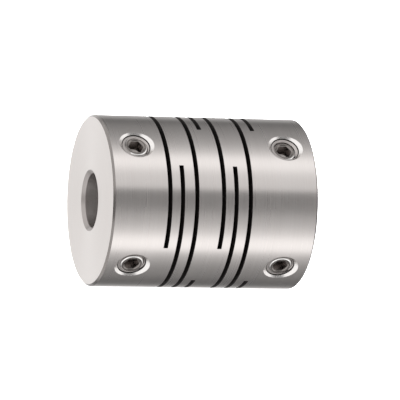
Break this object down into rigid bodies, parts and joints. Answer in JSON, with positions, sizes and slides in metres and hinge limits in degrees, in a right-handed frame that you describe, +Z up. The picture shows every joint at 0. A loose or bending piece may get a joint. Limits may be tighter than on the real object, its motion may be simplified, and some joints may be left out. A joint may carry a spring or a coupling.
{
  "type": "slit beam coupling",
  "caption": "One-piece slit beam coupling that joins two shafts and takes up misalignment, with hex-socket set screws.",
  "frame": {"origin": "middle of the body, on its axis, halfway between the two end faces", "axes": "+X along the axis from the left hub to the right hub; the set screws are on the -Y side, +Z is up between each hub's upper and lower screw"},
  "size_m": [0.031, 0.025, 0.025],
  "materials": {
    "body": "fine turned, bare",
    "screws": "smooth, bare"
  },
  "bodies": {
    "hub_left": {"hub_left": "body"},
    "disc_1": {"web_1": "body", "disc_1": "body"},
    "disc_2": {"web_2": "body", "disc_2": "body"},
    "disc_3": {"web_3": "body", "disc_3": "body"},
    "disc_4": {"web_4": "body", "disc_4": "body"},
    "disc_5": {"disc_5": "body"},
    "disc_6": {"web_6": "body", "disc_6": "body"},
    "disc_7": {"web_7": "body", "disc_7": "body"},
    "web_5": {"web_5": "body"},
    "hub_right": {"web_8": "body", "hub_right": "body"},
    "set_screw_left_upper": {"set_screw_left_upper": "screws"},
    "set_screw_left_lower": {"set_screw_left_lower": "screws"},
    "set_screw_right_upper": {"set_screw_right_upper": "screws"},
    "set_screw_right_lower": {"set_screw_right_lower": "screws"}
  },
  "joints": [
    {"name": "slit_1_bend", "type": "hinge", "parent": "hub_left", "child": "disc_1", "pos_m": [-0.00702, 0, -0.006], "axis": [0, 1, 0], "range_deg": [-0.5, 0.5], "stiffness_Nm_per_rad": 45, "deforming": ["web_1"]},
    {"name": "slit_2_bend", "type": "hinge", "parent": "disc_1", "child": "disc_2", "pos_m": [-0.00513, 0, 0.006], "axis": [0, -1, 0], "range_deg": [-0.5, 0.5], "stiffness_Nm_per_rad": 45, "deforming": ["web_2"]},
    {"name": "slit_3_bend", "type": "hinge", "parent": "disc_2", "child": "disc_3", "pos_m": [-0.00298, 0.006, 0], "axis": [0, 0, 1], "range_deg": [-0.5, 0.5], "stiffness_Nm_per_rad": 45, "deforming": ["web_3"]},
    {"name": "slit_4_bend", "type": "hinge", "parent": "disc_3", "child": "disc_4", "pos_m": [-0.00108, -0.006, 0], "axis": [0, 0, -1], "range_deg": [-0.5, 0.5], "stiffness_Nm_per_rad": 45, "deforming": ["web_4"]},
    {"name": "slit_5_bend", "type": "hinge", "parent": "disc_4", "child": "web_5", "pos_m": [0.00108, 0, -0.006], "axis": [0, 1, 0], "range_deg": [-0.5, 0.5], "stiffness_Nm_per_rad": 45, "deforming": ["web_5"]},
    {"name": "wind_up", "type": "hinge", "parent": "web_5", "child": "disc_5", "pos_m": [0.00108, 0, 0], "axis": [1, 0, 0], "range_deg": [-0.25, 0.25], "stiffness_Nm_per_rad": 600, "deforming": ["web_5"]},
    {"name": "slit_6_bend", "type": "hinge", "parent": "disc_5", "child": "disc_6", "pos_m": [0.00298, 0, 0.006], "axis": [0, -1, 0], "range_deg": [-0.5, 0.5], "stiffness_Nm_per_rad": 45, "deforming": ["web_6"]},
    {"name": "slit_7_bend", "type": "hinge", "parent": "disc_6", "child": "disc_7", "pos_m": [0.00513, 0.006, 0], "axis": [0, 0, 1], "range_deg": [-0.5, 0.5], "stiffness_Nm_per_rad": 45, "deforming": ["web_7"]},
    {"name": "slit_8_bend", "type": "hinge", "parent": "disc_7", "child": "hub_right", "pos_m": [0.00702, -0.006, 0], "axis": [0, 0, -1], "range_deg": [-0.5, 0.5], "stiffness_Nm_per_rad": 45, "deforming": ["web_8"]},
    {"name": "left_upper_screw_travel", "type": "slide", "parent": "hub_left", "child": "set_screw_left_upper", "axis": [0, -0.7071, 0.7071], "range_m": [-0.0021, 0.0042]},
    {"name": "left_lower_screw_travel", "type": "slide", "parent": "hub_left", "child": "set_screw_left_lower", "axis": [0, -0.7071, -0.7071], "range_m": [-0.0021, 0.0042]},
    {"name": "right_upper_screw_travel", "type": "slide", "parent": "hub_right", "child": "set_screw_right_upper", "axis": [0, -0.7071, 0.7071], "range_m": [-0.0014, 0.0042]},
    {"name": "right_lower_screw_travel", "type": "slide", "parent": "hub_right", "child": "set_screw_right_lower", "axis": [0, -0.7071, -0.7071], "range_m": [-0.0021, 0.0042]}
  ]
}
